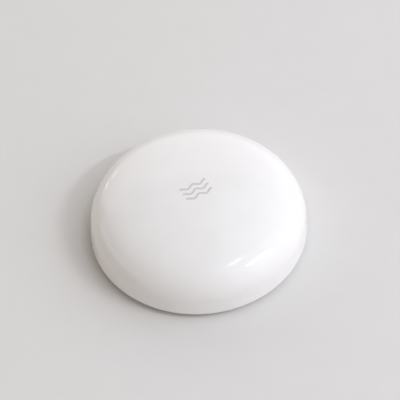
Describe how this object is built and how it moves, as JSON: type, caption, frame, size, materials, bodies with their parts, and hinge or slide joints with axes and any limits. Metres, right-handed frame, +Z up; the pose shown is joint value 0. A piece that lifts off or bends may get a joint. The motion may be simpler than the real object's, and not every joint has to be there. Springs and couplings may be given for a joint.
{
  "type": "water leak sensor",
  "caption": "Low round water leak sensor with a glossy dome, metal sensing probes underneath, a coin-slot battery cover and a press switch under the crown.",
  "frame": {"origin": "middle of the footprint, on the surface that the sensor stands on", "axes": "+Z up through the crown; the probes lie on X and the moulded feet on Y"},
  "size_m": [0.05, 0.05, 0.015],
  "materials": {
    "shell_white": "gloss",
    "base_white": "satin",
    "seal_rubber": "matte",
    "probe_steel": "polished",
    "brass": "machined",
    "spring_steel": "satin",
    "cell_steel": "satin",
    "black_plastic": "satin",
    "contact_plate": "plated",
    "board_green": "solder mask",
    "screw_steel": "satin",
    "chip_black": "matte",
    "ceramic": "matte",
    "lamp_clear": "gloss",
    "copper": "bare copper",
    "plunger_plastic": "satin"
  },
  "bodies": {
    "housing": {"top_shell": "shell_white", "base": "base_white", "housing_seal": "seal_rubber", "left_probe": "probe_steel", "right_probe": "probe_steel", "probe_seals": "seal_rubber", "probe_nuts": "brass", "left_probe_spring": "spring_steel", "right_probe_spring": "spring_steel", "cell_can": "cell_steel", "cell_gasket": "black_plastic", "cell_cap": "cell_steel", "cell_holder": "black_plastic", "positive_contact": "contact_plate", "negative_contact": "contact_plate", "main_board": "board_green", "board_screws": "screw_steel", "radio_chip": "chip_black", "crystal": "cell_steel", "chip_parts": "ceramic", "indicator_led": "lamp_clear", "antenna_trace": "copper", "switch_body": "black_plastic", "switch_frame": "spring_steel", "switch_terminals": "spring_steel", "switch_dome": "spring_steel"},
    "seal": {"cover_seal": "seal_rubber"},
    "cover": {"battery_cover": "base_white"},
    "plunger": {"switch_plunger": "plunger_plastic"}
  },
  "joints": [
    {"name": "cover_drop", "type": "slide", "parent": "housing", "child": "seal", "axis": [0, 0, -1], "range_m": [0, 0.0016]},
    {"name": "cover_turn", "type": "hinge", "parent": "seal", "child": "cover", "pos_m": [0, 0, 0.0008], "axis": [0, 0, -1], "range_deg": [0, 60]},
    {"name": "plunger_press", "type": "slide", "parent": "housing", "child": "plunger", "axis": [0, 0, -1], "range_m": [0, 0.00025], "stiffness_N_per_m": 6000, "deforming": ["switch_dome"]}
  ],
  "couplings": [
    {"joint": "cover_turn", "follows": "cover_drop", "rad_per_m": 654.49}
  ]
}
